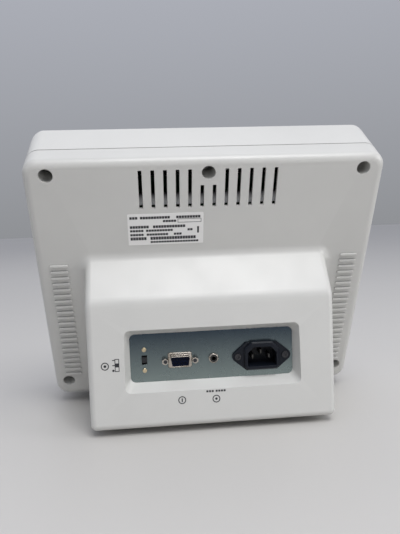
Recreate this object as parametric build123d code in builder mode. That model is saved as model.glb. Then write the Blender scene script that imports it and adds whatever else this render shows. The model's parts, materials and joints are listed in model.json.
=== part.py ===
from build123d import *
from math import cos, radians, sin, tan
import os

os.makedirs("parts", exist_ok=True)

# Desktop ultrasonic eye-measuring monitor: a display casing leaning back over a deep
# connector housing.  Millimetres, +Z up, display faces -Y, connectors face +Y, origin on
# the table under the middle of the bounding box.

# ---------------------------------------------------------------- driving dimensions
WIDTH = 284.0            # display casing, side to side
LEAN = radians(25.0)     # lean of the back plane from the vertical
FOOT_HEIGHT = 6.0        # rubber feet lift the casing this far
SEAT_Y = -21.5           # where the back plane meets the level of the housing's underside
CASING_LOW = 10.5        # underside of the display casing, a step above the housing's
SEAT_DEPTH = 50.0        # flat underside in front of that line
CHIN_HEIGHT = 24.0       # height where the front face starts
BACK_LENGTH = 236.5      # up the back plane
FRONT_LENGTH = 244.7     # up the front plane, a little longer, so the top rises forward
THICKNESS = 58.0         # back plane to front plane
SEAM_DEPTH = 20.0        # parting line, behind which the rear cover lies
SEAM_GAP = 0.9
WALL = 2.6
CORNER_R = 12.0
REAR_EDGE_R = 6.5
FRONT_EDGE_R = 4.0
CHIN_R = 8.0

HOUSING_WIDTH = 203.0
HOUSING_REAR_Y = 70.5
HOUSING_DRAFT = radians(2.5)
HOUSING_FACE_TOP = 110.0
HOUSING_ROOF_TOP = 145.0
HOUSING_SIDE_R = 5.0
HOUSING_BEND_R = 18.0
HOUSING_BOTTOM_R = 5.0
JUNCTION_R = 8.0

PANEL_Y = 57.5           # outer face of the sheet-metal connector panel
PANEL_Z = 58.5           # centre line of the connectors
SHEET = 1.2
FIT = 0.05               # hair of room between a piece and the hole it sits in

# ---------------------------------------------------------------- reference planes
BACK = Plane(
    origin=(0, SEAT_Y, FOOT_HEIGHT),
    x_dir=(1, 0, 0),
    z_dir=(0, -cos(LEAN), sin(LEAN)),
)
PANEL = Plane(origin=(0, PANEL_Y, PANEL_Z), x_dir=(-1, 0, 0), z_dir=(0, 1, 0))


def save(piece, label):
    """Label a finished piece and write it as its own STEP file."""
    piece.part.label = label
    export_step(piece.part, "parts/" + label + ".step")


def back_point(up, depth):
    """Return (y, z) of a point measured up the back plane and into the casing."""
    y = SEAT_Y + up * sin(LEAN) - depth * cos(LEAN)
    z = FOOT_HEIGHT + up * cos(LEAN) + depth * sin(LEAN)
    return (y, z)


def on_side(edge, half_width):
    """Tell whether an edge lies in one of the two side faces."""
    return abs(abs(edge.center().X) - half_width) < 0.001


def along_back(edge):
    """Tell whether a straight edge runs up the back plane."""
    direction = edge.tangent_at(0.5)
    return abs(direction.Y * sin(LEAN) + direction.Z * cos(LEAN)) > 0.999


def leaning_faces(body):
    """Return the faces near-parallel to the back plane, from the rear to the front."""
    flat = body.faces().filter_by(lambda face: abs(face.normal_at().dot(BACK.z_dir)) > 0.9)
    return flat.sort_by(Axis(BACK.origin, BACK.z_dir))


# ---------------------------------------------------------------- outer and inner forms
def display_casing(inset):
    """Return the leaning display casing as a solid, shrunk by inset on every side."""
    half_width = WIDTH / 2 - inset
    low_up = (CASING_LOW - FOOT_HEIGHT) / cos(LEAN)
    chin_up = (CHIN_HEIGHT - FOOT_HEIGHT - THICKNESS * sin(LEAN)) / cos(LEAN)
    with BuildPart() as body:
        with BuildSketch(Plane.YZ):
            with BuildLine():
                Polyline(
                    back_point(low_up, 0),
                    back_point(BACK_LENGTH, 0),
                    back_point(FRONT_LENGTH, THICKNESS),
                    back_point(chin_up, THICKNESS),
                    (SEAT_Y - SEAT_DEPTH, CASING_LOW),
                    close=True,
                )
            make_face()
            if inset > 0:
                offset(amount=-inset, kind=Kind.INTERSECTION)
        extrude(amount=half_width, both=True)
        chin_edges = body.edges().filter_by(Axis.X).sort_by(Axis.Y)[:2]
        fillet(chin_edges, CHIN_R - inset)
        side_edges = body.edges().filter_by(lambda edge: on_side(edge, half_width))
        fillet(side_edges.filter_by(lambda edge: not along_back(edge)), CORNER_R - inset)
        rear_face = leaning_faces(body)[0]
        fillet(rear_face.outer_wire().edges(), REAR_EDGE_R - inset)
        front_face = leaning_faces(body)[-1]
        fillet(front_face.outer_wire().edges(), FRONT_EDGE_R - inset)
    return body


def connector_housing(inset):
    """Return the lower rear housing as a solid, shrunk by inset on every side."""
    half_width = HOUSING_WIDTH / 2 - inset
    face_top_y = HOUSING_REAR_Y - (HOUSING_FACE_TOP - FOOT_HEIGHT) * tan(HOUSING_DRAFT)
    roof_up = (HOUSING_ROOF_TOP - FOOT_HEIGHT) / cos(LEAN)
    front_y = SEAT_Y - 8.0
    with BuildPart() as body:
        with BuildSketch(Plane.YZ):
            with BuildLine():
                Polyline(
                    (front_y, FOOT_HEIGHT),
                    (HOUSING_REAR_Y, FOOT_HEIGHT),
                    (face_top_y, HOUSING_FACE_TOP),
                    back_point(roof_up, 0),
                    back_point(roof_up, 12.0),
                    close=True,
                )
            make_face()
            if inset > 0:
                offset(amount=-inset, kind=Kind.INTERSECTION)
        extrude(amount=half_width, both=True)
        bend = (0, face_top_y - inset, HOUSING_FACE_TOP)
        fillet(body.edges().filter_by(Axis.X).sort_by_distance(bend)[0], HOUSING_BEND_R - inset)
        side_edges = body.edges().filter_by(
            lambda edge: on_side(edge, half_width)
            and edge.center().Y > SEAT_Y + 40.0
            and abs(edge.tangent_at(0.5).Y) < 0.95
        )
        fillet(side_edges, HOUSING_SIDE_R - inset)
        underside = body.faces().filter_by(Axis.Z).sort_by(Axis.Z)[0]
        low_edges = underside.outer_wire().edges()
        fillet(low_edges.filter_by(lambda edge: edge.center().Y > front_y + 1), HOUSING_BOTTOM_R - inset)
    return body


def depth_slab(start, end):
    """Return a large plate filling the space between two depths of the display casing."""
    with BuildPart() as slab:
        with BuildSketch(BACK.offset(start)):
            Rectangle(2 * WIDTH, 4 * BACK_LENGTH)
        extrude(amount=end - start)
    return slab


casing_form = display_casing(0)
housing_form = connector_housing(0)
casing_space = display_casing(WALL)
housing_space = connector_housing(WALL)

with BuildPart() as outer_form:
    add(casing_form.part)
    add(housing_form.part)
    junction = outer_form.edges().filter_by(
        lambda edge: abs((edge.center() - BACK.origin).dot(BACK.z_dir)) < 0.02
        and abs(edge.center().X) < HOUSING_WIDTH / 2 + 1
        and FOOT_HEIGHT + 0.5 < edge.center().Z < HOUSING_ROOF_TOP + 1
    )
    fillet(junction, JUNCTION_R)

with BuildPart() as inner_form:
    add(casing_space.part)
    add(housing_space.part)

# The tongue is a ring on the rear cover that enters a rabbet inside the front cover.
TONGUE_OUTER = 1.5
TONGUE_INNER = 3.4
TONGUE_LENGTH = 3.5
tongue_outside = display_casing(TONGUE_OUTER)
tongue_inside = display_casing(TONGUE_INNER)
tongue_slab = depth_slab(SEAM_DEPTH - 4.0, SEAM_DEPTH + TONGUE_LENGTH)
with BuildPart() as tongue_ring:
    add(tongue_outside.part)
    add(tongue_inside.part, mode=Mode.SUBTRACT)
    add(tongue_slab.part, mode=Mode.INTERSECT)

# ---------------------------------------------------------------- shared layout
# Case screws, as (across, up the back plane); wells open to the rear.
CASE_SCREWS = [(-124, 225.5), (124, 225.5), (0, 224.9), (-129, 21.0), (129, 21.0)]
WELL_R = 5.45
WELL_TUBE_R = 7.25
WELL_FLOOR = 23.5
BOSS_START = 26.0
BOSS_R = 4.5
SCREW_R = 1.75

DISPLAY_UP = 145.0       # centre of the display up the front face
WINDOW = (173.0, 131.0)
GLASS = (190.0, 146.0)
MODULE = (199.5, 149.0)
BRACKET_HOLES = [(-108, 80.0), (108, 80.0), (-108, 210.0), (108, 210.0)]
FRONT_INSIDE = THICKNESS - WALL

KEY_UP = 54.0
KEYS = [-110.0, -88.0, -66.0, -44.0, -22.0]
KEY_SIZE = (16.0, 8.0)
POWER_X = 6.0
POWER_R = 6.0
LENS_X = 26.0
BUTTON_ROOM = 0.35
BUTTON_TRAVEL = 0.8
KEY_BOARD_HOLES = [(-123, 54.0), (34, 60.0)]

SOCKETS = [-104.0, -70.0]
SOCKET_UP = 24.0
SOCKET_R = 8.0
SPEAKER_X = -14.0
SPEAKER_UP = 25.0

DOOR_X = 81.0            # centre line of the printer
DOOR_WIDTH = 68.0
DOOR_GAP = 0.5
PIN_UP = 13.0            # door hinge pin, up and depth
PIN_DEPTH = 51.5
DOOR_TOP = 63.0
MOUTH_TOP = 64.2         # upper lip of the paper mouth
DOOR_R = THICKNESS - PIN_DEPTH
DOOR_SKIN = 2.2
PLATEN_UP = 57.0
PLATEN_DEPTH = 50.4
PLATEN_R = 5.0
ROLL_UP = 34.0
ROLL_DEPTH = 26.0
ROLL_R = 18.0
ROLL_CORE_R = 6.3
PAPER_WIDTH = 58.0


def on_back(across, up, depth):
    """Return the plane at a point of the display casing, facing into its depth."""
    return Plane(BACK.from_local_coords(Vector(across, up, depth)), BACK.x_dir, BACK.z_dir)


def cross_plane(across):
    """Return the plane x = across whose local axes run up the back plane and into depth."""
    origin = BACK.from_local_coords(Vector(across, 0, 0))
    return Plane(origin, x_dir=BACK.y_dir, z_dir=(1, 0, 0))


def recess_funnel(shift):
    """Return the tapered pocket that leads down to the connector panel, grown by shift."""
    mouth = Plane(origin=(0, HOUSING_REAR_Y, 62.15), x_dir=(-1, 0, 0), z_dir=(0, 1, 0))
    floor = Plane(origin=(0, PANEL_Y, 61.55), x_dir=(-1, 0, 0), z_dir=(0, 1, 0))
    with BuildPart() as funnel:
        with BuildSketch(floor):
            RectangleRounded(136 + 2 * shift, 40.5 + 2 * shift, 4.5 + shift)
        with BuildSketch(mouth):
            RectangleRounded(145.8 + 2 * shift, 53.5 + 2 * shift, 4.5 + shift)
        loft()
    return funnel


# ---------------------------------------------------------------- rear cover
VENT_PITCH = 9.7
VENT_WIDTH = 2.9
VENT_LOW = 196.1
VENT_HIGH = 227.9
VENT_SHORT_HIGH = 214.7
VENT_COUNT = 12
RIB_COUNT = 21
RIB_PITCH = 5.84
RIB_LOW = 30.0
RIB_INNER_X = 116.0
RIB_OUTER_X = 131.0
RIB_TALL = 2.1
RIB_PROUD = 1.9
TRAY_Z = 11.0
TRAY_POSTS = [(-66, -12.0), (66, -12.0), (-66, 48.0), (66, 48.0)]
SHIELD_UP = 201.5
SHIELD_POSTS = [(-62, SHIELD_UP), (62, SHIELD_UP)]
SHIELD_DEPTH = 6.0

recess_outside = recess_funnel(WALL)
recess_inside = recess_funnel(0)
with BuildPart() as funnel_walls:
    add(recess_outside.part)
    add(outer_form.part, mode=Mode.INTERSECT)

with BuildPart() as rear_cover:
    add(outer_form.part)
    add(inner_form.part, mode=Mode.SUBTRACT)
    split(bisect_by=BACK.offset(SEAM_DEPTH - SEAM_GAP / 2), keep=Keep.BOTTOM)
    add(tongue_ring.part)
    for across, up in CASE_SCREWS:
        with BuildSketch(on_back(across, up, 1.6)):
            Circle(WELL_TUBE_R)
        extrude(amount=BOSS_START - 1.6)
    for across, up in SHIELD_POSTS:
        with BuildSketch(on_back(across, up, 1.0)):
            Circle(3.5)
        extrude(amount=SHIELD_DEPTH - 1.0)
        with BuildSketch(on_back(across, up, SHIELD_DEPTH)):
            Circle(1.2)
        extrude(amount=-4.5, mode=Mode.SUBTRACT)
    for across, along in TRAY_POSTS:
        with BuildSketch(Plane.XY.offset(FOOT_HEIGHT + 1.0)):
            with Locations((across, along)):
                Circle(4.5)
        extrude(amount=TRAY_Z - FOOT_HEIGHT - 1.0)
    for across, up in CASE_SCREWS:
        with BuildSketch(on_back(across, up, -1.0)):
            Circle(WELL_R)
        extrude(amount=WELL_FLOOR + 1.0, mode=Mode.SUBTRACT)
        with BuildSketch(on_back(across, up, 0)):
            Circle(SCREW_R + 0.4)
        extrude(amount=BOSS_START + 1.0, mode=Mode.SUBTRACT)
    for index in range(VENT_COUNT):
        across = (index - (VENT_COUNT - 1) / 2) * VENT_PITCH
        high = VENT_SHORT_HIGH if index in (5, 6) else VENT_HIGH
        with BuildSketch(on_back(across, (VENT_LOW + high) / 2, -1.0)):
            RectangleRounded(VENT_WIDTH, high - VENT_LOW, 0.5)
        extrude(amount=WALL + 2.0, mode=Mode.SUBTRACT)
    for side in (-1, 1):
        for index in range(RIB_COUNT):
            up = RIB_LOW + index * RIB_PITCH
            with BuildSketch(on_back(side * (RIB_INNER_X + RIB_OUTER_X) / 2, up, 0.4)):
                SlotOverall(RIB_OUTER_X - RIB_INNER_X, RIB_TALL)
            extrude(amount=-RIB_PROUD - 0.4, taper=5)
    add(funnel_walls.part)
    add(recess_inside.part, mode=Mode.SUBTRACT)
save(rear_cover, "rear_cover")


def panel_plane(across, height, out):
    """Return the plane at a point of the connector panel, facing out to the rear."""
    return Plane(PANEL.from_local_coords(Vector(across, height, out)), PANEL.x_dir, PANEL.z_dir)


# ---------------------------------------------------------------- front cover
FRONT_FEET = [(-108, -57.0), (108, -57.0)]
REAR_FEET = [(-84, 38.0), (84, 38.0)]
FOOT_R = 7.0
GRILLE_SLOTS = 6
GRILLE_PITCH = 4.5
with BuildPart() as front_cover:
    add(outer_form.part)
    add(inner_form.part, mode=Mode.SUBTRACT)
    split(bisect_by=BACK.offset(SEAM_DEPTH + SEAM_GAP / 2), keep=Keep.TOP)
    add(tongue_ring.part, mode=Mode.SUBTRACT)
    for across, along in FRONT_FEET:
        with BuildSketch(Plane.XY.offset(FOOT_HEIGHT)):
            with Locations((across, along)):
                Circle(FOOT_R + 1.0)
        extrude(amount=CASING_LOW + 1.0 - FOOT_HEIGHT)
    for across, up in CASE_SCREWS:
        with BuildSketch(on_back(across, up, BOSS_START)):
            Circle(BOSS_R)
        extrude(amount=FRONT_INSIDE + 0.5 - BOSS_START)
        with BuildSketch(on_back(across, up, BOSS_START)):
            Circle(SCREW_R)
        extrude(amount=20.0, mode=Mode.SUBTRACT)
    for across, up in BRACKET_HOLES:
        with BuildSketch(on_back(across, up, 44.4)):
            Circle(4.0)
        extrude(amount=FRONT_INSIDE + 0.5 - 44.4)
        with BuildSketch(on_back(across, up, 44.4)):
            Circle(1.3)
        extrude(amount=8.0, mode=Mode.SUBTRACT)
    for across, up in KEY_BOARD_HOLES:
        with BuildSketch(on_back(across, up, 45.6)):
            Circle(3.0)
        extrude(amount=FRONT_INSIDE + 0.5 - 45.6)
        with BuildSketch(on_back(across, up, 45.6)):
            Circle(1.3)
        extrude(amount=7.0, mode=Mode.SUBTRACT)
    with BuildSketch(on_back(0, DISPLAY_UP, THICKNESS + 1)):
        RectangleRounded(*WINDOW, 2.0)
    extrude(amount=-WALL - 3.0, mode=Mode.SUBTRACT)
    window_rim = front_cover.faces().sort_by(Axis(BACK.origin, BACK.z_dir))[-1].inner_wires()
    chamfer(window_rim[0].edges(), 1.8)
    mouth_low = PIN_UP - DOOR_R - DOOR_GAP
    with BuildSketch(on_back(DOOR_X, (mouth_low + MOUTH_TOP) / 2, THICKNESS + 1)):
        Rectangle(DOOR_WIDTH + 2 * DOOR_GAP, MOUTH_TOP - mouth_low)
    extrude(amount=-WALL - 3.0, mode=Mode.SUBTRACT)
    for across in KEYS:
        with BuildSketch(on_back(across, KEY_UP, THICKNESS + 1)):
            RectangleRounded(KEY_SIZE[0] + 2 * BUTTON_ROOM, KEY_SIZE[1] + 2 * BUTTON_ROOM, 2.3)
        extrude(amount=-WALL - 3.0, mode=Mode.SUBTRACT)
    with BuildSketch(on_back(POWER_X, KEY_UP, THICKNESS + 1)):
        Circle(POWER_R + BUTTON_ROOM)
    extrude(amount=-WALL - 3.0, mode=Mode.SUBTRACT)
    with BuildSketch(on_back(LENS_X, KEY_UP, THICKNESS + 1)):
        SlotOverall(10.0 + 2 * FIT, 3.0 + 2 * FIT, rotation=90)
    extrude(amount=-WALL - 3.0, mode=Mode.SUBTRACT)
    for across in SOCKETS:
        with BuildSketch(on_back(across, SOCKET_UP, THICKNESS + 1)):
            Circle(SOCKET_R + FIT)
        extrude(amount=-WALL - 3.0, mode=Mode.SUBTRACT)
    for index in range(GRILLE_SLOTS):
        across = SPEAKER_X + (index - (GRILLE_SLOTS - 1) / 2) * GRILLE_PITCH
        with BuildSketch(on_back(across, SPEAKER_UP, THICKNESS + 1)):
            SlotOverall(18.0, 1.8, rotation=90)
        extrude(amount=-WALL - 3.0, mode=Mode.SUBTRACT)
save(front_cover, "front_cover")


# ---------------------------------------------------------------- fasteners
def pan_screws(places, head_r, head_h, shank_r, shank_len, cross=True):
    """Return separate screws; each place is the plane under its head, facing out."""
    with BuildPart() as screws:
        for place in places:
            with BuildSketch(place):
                Circle(head_r)
            extrude(amount=head_h)
            with BuildSketch(place):
                Circle(shank_r)
            extrude(amount=-shank_len)
        if cross:
            for place in places:
                top = Plane(place.origin + place.z_dir * head_h, place.x_dir, place.z_dir)
                with BuildSketch(top):
                    Rectangle(1.3 * head_r, 0.28 * head_r)
                    Rectangle(0.28 * head_r, 1.3 * head_r)
                extrude(amount=-0.55 * head_h, mode=Mode.SUBTRACT)
    return screws


def facing_back(across, up, depth):
    """Return a plane on the display casing that faces out to the rear."""
    return Plane(BACK.from_local_coords(Vector(across, up, depth)), BACK.x_dir, -BACK.z_dir)


case_screws = pan_screws(
    [facing_back(across, up, WELL_FLOOR) for across, up in CASE_SCREWS],
    head_r=3.6, head_h=2.6, shank_r=SCREW_R - FIT, shank_len=16.0,
)
save(case_screws, "case_screws")

# ---------------------------------------------------------------- feet and label
with BuildPart() as rubber_feet:
    for across, along in FRONT_FEET + REAR_FEET:
        with BuildSketch(Plane.XY):
            with Locations((across, along)):
                Circle(FOOT_R)
        extrude(amount=FOOT_HEIGHT)
    chamfer(rubber_feet.edges().group_by(Axis.Z)[0], 0.8)
save(rubber_feet, "rubber_feet")

LABEL_CENTRE = (34.25, 177.7)
LABEL_SIZE = (61.5, 28.0)
with BuildPart() as rating_label:
    with BuildSketch(facing_back(LABEL_CENTRE[0], LABEL_CENTRE[1], 0)):
        RectangleRounded(*LABEL_SIZE, 1.0)
    extrude(amount=0.2)
save(rating_label, "rating_label")

# ---------------------------------------------------------------- connector panel and tray
INLET = (41.3, 0.0)
INLET_SCREW = 20.0
JACK = (1.0, 0.0)
SERIAL = (-27.0, 0.0)
JACKSCREW = 12.5
SWITCH = (-56.3, 1.4)
SWITCH_SCREW = 8.75
PANEL_WIDTH = 156.0
PANEL_HIGH = 88.5
TRAY_FRONT_Y = -20.0


def chamfered_outline(width, height, top_cut, low_cut):
    """Draw a rectangle whose upper and lower corners are cut by different amounts."""
    half = width / 2
    rise = height / 2
    with BuildSketch(Plane.XY) as outline:
        with BuildLine():
            Polyline(
                (-half, -rise + low_cut),
                (-half, rise - top_cut),
                (-half + top_cut, rise),
                (half - top_cut, rise),
                (half, rise - top_cut),
                (half, -rise + low_cut),
                (half - low_cut, -rise),
                (-half + low_cut, -rise),
                close=True,
            )
        make_face()
    return outline


def trapezoid_outline(width, height, corner_r):
    """Draw the D outline of a serial connector, wide side up."""
    with BuildSketch(Plane.XY) as outline:
        with BuildLine():
            Polyline(
                (-width / 2, height / 2),
                (width / 2, height / 2),
                (width / 2 - height * tan(radians(10)), -height / 2),
                (-width / 2 + height * tan(radians(10)), -height / 2),
                close=True,
            )
        make_face()
        fillet(outline.vertices(), corner_r)
    return outline


inlet_back_outline = chamfered_outline(27.2, 19.8, 5.5, 1.5)
inlet_hole_outline = chamfered_outline(27.4, 20.0, 5.5, 1.5)
inlet_rim_outline = chamfered_outline(29.4, 23.8, 6.0, 2.5)
inlet_cavity_outline = chamfered_outline(24.4, 16.3, 5.0, 0.6)
serial_outline = trapezoid_outline(17.0, 8.6, 1.6)
serial_cavity_outline = trapezoid_outline(16.0, 7.6, 1.1)
with BuildPart() as rear_panel:
    with BuildSketch(Plane.YZ):
        with BuildLine():
            Polyline(
                (TRAY_FRONT_Y, TRAY_Z),
                (PANEL_Y, TRAY_Z),
                (PANEL_Y, PANEL_HIGH),
                (PANEL_Y - SHEET, PANEL_HIGH),
                (PANEL_Y - SHEET, TRAY_Z + SHEET),
                (TRAY_FRONT_Y, TRAY_Z + SHEET),
                close=True,
            )
        make_face()
    extrude(amount=PANEL_WIDTH / 2, both=True)
    bend_edges = rear_panel.edges().filter_by(Axis.X)
    fillet(bend_edges.sort_by_distance((0, PANEL_Y, TRAY_Z))[0], 2.4)
    inner_bend = (0, PANEL_Y - SHEET, TRAY_Z + SHEET)
    fillet(rear_panel.edges().filter_by(Axis.X).sort_by_distance(inner_bend)[0], 1.2)
    for across, along in TRAY_POSTS:
        with BuildSketch(Plane.XY.offset(TRAY_Z)):
            with Locations((across, along)):
                Circle(1.7)
        extrude(amount=SHEET + 1, mode=Mode.SUBTRACT)
    with BuildSketch(panel_plane(INLET[0], INLET[1], 1)):
        add(inlet_hole_outline.sketch)
        with Locations((-INLET_SCREW, 0), (INLET_SCREW, 0)):
            Circle(1.6)
    extrude(amount=-4, mode=Mode.SUBTRACT)
    with BuildSketch(panel_plane(JACK[0], JACK[1], 1)):
        Circle(3.1)
    extrude(amount=-4, mode=Mode.SUBTRACT)
    with BuildSketch(panel_plane(SERIAL[0], SERIAL[1], 1)):
        RectangleRounded(20.0, 13.2, 1.6)
        with Locations((-JACKSCREW, 0), (JACKSCREW, 0)):
            Circle(1.6)
    extrude(amount=-4, mode=Mode.SUBTRACT)
    with BuildSketch(panel_plane(SWITCH[0], SWITCH[1], 1)):
        Rectangle(4.6, 7.8)
        with Locations((0, -SWITCH_SCREW), (0, SWITCH_SCREW)):
            Circle(1.3)
    extrude(amount=-4, mode=Mode.SUBTRACT)
save(rear_panel, "rear_panel")


def level_plane(across, along, height):
    """Return an upward-facing plane."""
    return Plane((across, along, height), (1, 0, 0), (0, 0, 1))


tray_screws = pan_screws(
    [level_plane(*post, TRAY_Z + SHEET) for post in TRAY_POSTS],
    head_r=3.0, head_h=1.8, shank_r=1.5, shank_len=SHEET,
)
save(tray_screws, "tray_screws")

# ---------------------------------------------------------------- mains inlet
INLET_FACE = 5.0
FLANGE = 2.2
with BuildPart() as inlet_body:
    with BuildSketch(panel_plane(INLET[0], INLET[1], 0)):
        Rectangle(26.0, 23.6)
        with Locations((-INLET_SCREW, 0), (INLET_SCREW, 0)):
            Circle(4.6)
        make_hull()
    extrude(amount=FLANGE)
    with BuildSketch(panel_plane(INLET[0], INLET[1], 0)):
        with Locations((0, 0.6)):
            add(inlet_rim_outline.sketch)
    extrude(amount=INLET_FACE)
    chamfer(inlet_body.faces().sort_by(Axis.Y)[-1].outer_wire().edges(), 1.1)
    with BuildSketch(panel_plane(INLET[0], INLET[1], 0)):
        add(inlet_back_outline.sketch)
    extrude(amount=-15.0)
    with BuildSketch(panel_plane(INLET[0], INLET[1], INLET_FACE)):
        add(inlet_cavity_outline.sketch)
    extrude(amount=-16.4, mode=Mode.SUBTRACT)
    with BuildSketch(panel_plane(INLET[0], INLET[1], FLANGE)):
        with Locations((-INLET_SCREW, 0), (INLET_SCREW, 0)):
            Circle(3.0)
    extrude(amount=-1.0, mode=Mode.SUBTRACT)
    with BuildSketch(panel_plane(INLET[0], INLET[1], FLANGE)):
        with Locations((-INLET_SCREW, 0), (INLET_SCREW, 0)):
            Circle(1.6)
    extrude(amount=-5.0, mode=Mode.SUBTRACT)
    with BuildSketch(panel_plane(INLET[0], INLET[1], -10.0)):
        with Locations((-7.0, -1.2), (7.0, -1.2), (0, 2.8)):
            Rectangle(2.0, 4.0)
    extrude(amount=-8.0, mode=Mode.SUBTRACT)
save(inlet_body, "inlet_body")

with BuildPart() as inlet_blades:
    with BuildSketch(panel_plane(INLET[0], INLET[1], -20.0)):
        with Locations((-7.0, -1.2), (7.0, -1.2), (0, 2.8)):
            Rectangle(2.0, 4.0)
    extrude(amount=19.0)
    chamfer(inlet_blades.faces().group_by(Axis.Y)[-1].edges(), 0.5)
save(inlet_blades, "inlet_blades")

inlet_screws = pan_screws(
    [panel_plane(INLET[0] + side * INLET_SCREW, INLET[1], FLANGE - 1.0) for side in (-1, 1)],
    head_r=2.8, head_h=1.5, shank_r=1.5, shank_len=9.0,
)
save(inlet_screws, "inlet_screws")

# ---------------------------------------------------------------- serial socket
SERIAL_FACE = 6.0
with BuildPart() as serial_shell:
    with BuildSketch(panel_plane(SERIAL[0], SERIAL[1], -SHEET)):
        RectangleRounded(31.0, 14.4, 1.5)
    extrude(amount=-0.8)
    with BuildSketch(panel_plane(SERIAL[0], SERIAL[1], -SHEET)):
        RectangleRounded(19.8, 13.0, 1.5)
    extrude(amount=SHEET + 1.0)
    chamfer(serial_shell.faces().sort_by(Axis.Y)[-1].outer_wire().edges(), 0.5)
    with BuildSketch(panel_plane(SERIAL[0], SERIAL[1], 0.5)):
        add(serial_outline.sketch)
    extrude(amount=SERIAL_FACE - 0.5)
    with BuildSketch(panel_plane(SERIAL[0], SERIAL[1], SERIAL_FACE + 1)):
        add(serial_cavity_outline.sketch)
    extrude(amount=-SERIAL_FACE - 8, mode=Mode.SUBTRACT)
    with BuildSketch(panel_plane(SERIAL[0], SERIAL[1], 0)):
        with Locations((-JACKSCREW, 0), (JACKSCREW, 0)):
            Circle(1.6)
    extrude(amount=-6, mode=Mode.SUBTRACT)
save(serial_shell, "serial_shell")

with BuildPart() as serial_insert:
    with BuildSketch(panel_plane(SERIAL[0], SERIAL[1], -2.0)):
        add(serial_cavity_outline.sketch)
    extrude(amount=SERIAL_FACE + 1.2)
    with BuildSketch(panel_plane(SERIAL[0], SERIAL[1], -2.0)):
        Rectangle(18.0, 11.0)
    extrude(amount=-9.0)
    with BuildSketch(panel_plane(SERIAL[0], SERIAL[1], SERIAL_FACE)):
        with Locations((0, 1.42)):
            with GridLocations(2.77, 1, 5, 1):
                Circle(0.55)
        with Locations((0, -1.42)):
            with GridLocations(2.77, 1, 4, 1):
                Circle(0.55)
    extrude(amount=-6.0, mode=Mode.SUBTRACT)
save(serial_insert, "serial_insert")

with BuildPart() as serial_jackscrews:
    for side in (-1, 1):
        with BuildSketch(panel_plane(SERIAL[0] + side * JACKSCREW, SERIAL[1], 0)):
            RegularPolygon(2.75, 6, rotation=30)
        extrude(amount=4.8)
        with BuildSketch(panel_plane(SERIAL[0] + side * JACKSCREW, SERIAL[1], 0)):
            Circle(1.5)
        extrude(amount=-5.0)
        with BuildSketch(panel_plane(SERIAL[0] + side * JACKSCREW, SERIAL[1], 4.8)):
            Circle(1.25)
        extrude(amount=-7.0, mode=Mode.SUBTRACT)
save(serial_jackscrews, "serial_jackscrews")

# ---------------------------------------------------------------- jack
JACK_BORE_R = 1.8
with BuildPart() as jack_body:
    with BuildSketch(panel_plane(JACK[0], JACK[1], -SHEET)):
        Rectangle(9.0, 10.0)
    extrude(amount=-13.0)
    with BuildSketch(panel_plane(JACK[0], JACK[1], -SHEET)):
        Circle(3.0)
    extrude(amount=SHEET + 2.6)
    with BuildSketch(panel_plane(JACK[0], JACK[1], 3.0)):
        Circle(JACK_BORE_R)
    extrude(amount=-16.0, mode=Mode.SUBTRACT)
save(jack_body, "jack_body")

with BuildPart() as jack_nut:
    with BuildSketch(panel_plane(JACK[0], JACK[1], 0)):
        Circle(4.1)
        Circle(3.0 + FIT, mode=Mode.SUBTRACT)
    extrude(amount=2.2)
    chamfer(jack_nut.faces().sort_by(Axis.Y)[-1].outer_wire().edges(), 0.6)
save(jack_nut, "jack_nut")

# ---------------------------------------------------------------- slide switch
SLIDER_TRAVEL = 1.5
with BuildPart() as slide_switch_body:
    with BuildSketch(panel_plane(SWITCH[0], SWITCH[1], -SHEET)):
        Rectangle(8.6, 22.4)
    extrude(amount=-6.0)
    with BuildSketch(panel_plane(SWITCH[0], SWITCH[1], -SHEET)):
        Rectangle(4.4, 7.6)
    extrude(amount=-2.8, mode=Mode.SUBTRACT)
    with BuildSketch(panel_plane(SWITCH[0], SWITCH[1], -SHEET)):
        with Locations((0, -SWITCH_SCREW), (0, SWITCH_SCREW)):
            Circle(1.15)
    extrude(amount=-6.0, mode=Mode.SUBTRACT)
save(slide_switch_body, "slide_switch_body")

with BuildPart() as slide_switch_slider:
    with BuildSketch(panel_plane(SWITCH[0], SWITCH[1], -3.9)):
        Rectangle(4.0, 4.2)
    extrude(amount=3.6)
    with BuildSketch(panel_plane(SWITCH[0], SWITCH[1], 0)):
        with GridLocations(1, 1.2, 1, 3):
            Rectangle(6.0, 0.4)
    extrude(amount=-0.9, mode=Mode.SUBTRACT)
save(slide_switch_slider, "slide_switch_slider")

switch_screw_blanks = pan_screws(
    [panel_plane(SWITCH[0], SWITCH[1] + side * SWITCH_SCREW, 0) for side in (-1, 1)],
    head_r=1.9, head_h=1.3, shank_r=1.1, shank_len=7.0, cross=False,
)
with BuildPart() as slide_switch_screws:
    add(switch_screw_blanks.part)
    fillet(slide_switch_screws.faces().group_by(Axis.Y)[-1].edges(), 0.7)
save(slide_switch_screws, "slide_switch_screws")


def plate(centre, size, depth, thick, holes=(), hole_r=0.0):
    """Return a flat plate parallel to the back plane, with round holes through it."""
    with BuildPart() as sheet:
        with BuildSketch(on_back(centre[0], centre[1], depth)):
            RectangleRounded(size[0], size[1], 2.0)
        extrude(amount=thick)
        for across, up in holes:
            with BuildSketch(on_back(across, up, depth - 1)):
                Circle(hole_r)
            extrude(amount=thick + 2, mode=Mode.SUBTRACT)
    return sheet


def tubes(places, outer_r, inner_r, length):
    """Return round spacers as separate solids, each starting at its plane."""
    with BuildPart() as spacers:
        for place in places:
            with BuildSketch(place):
                Circle(outer_r)
                Circle(inner_r, mode=Mode.SUBTRACT)
            extrude(amount=length)
    return spacers


# ---------------------------------------------------------------- vent shield
vent_shield = plate((0, SHIELD_UP), (134, 10), SHIELD_DEPTH, SHEET, SHIELD_POSTS, 1.5)
save(vent_shield, "vent_shield")

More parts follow.
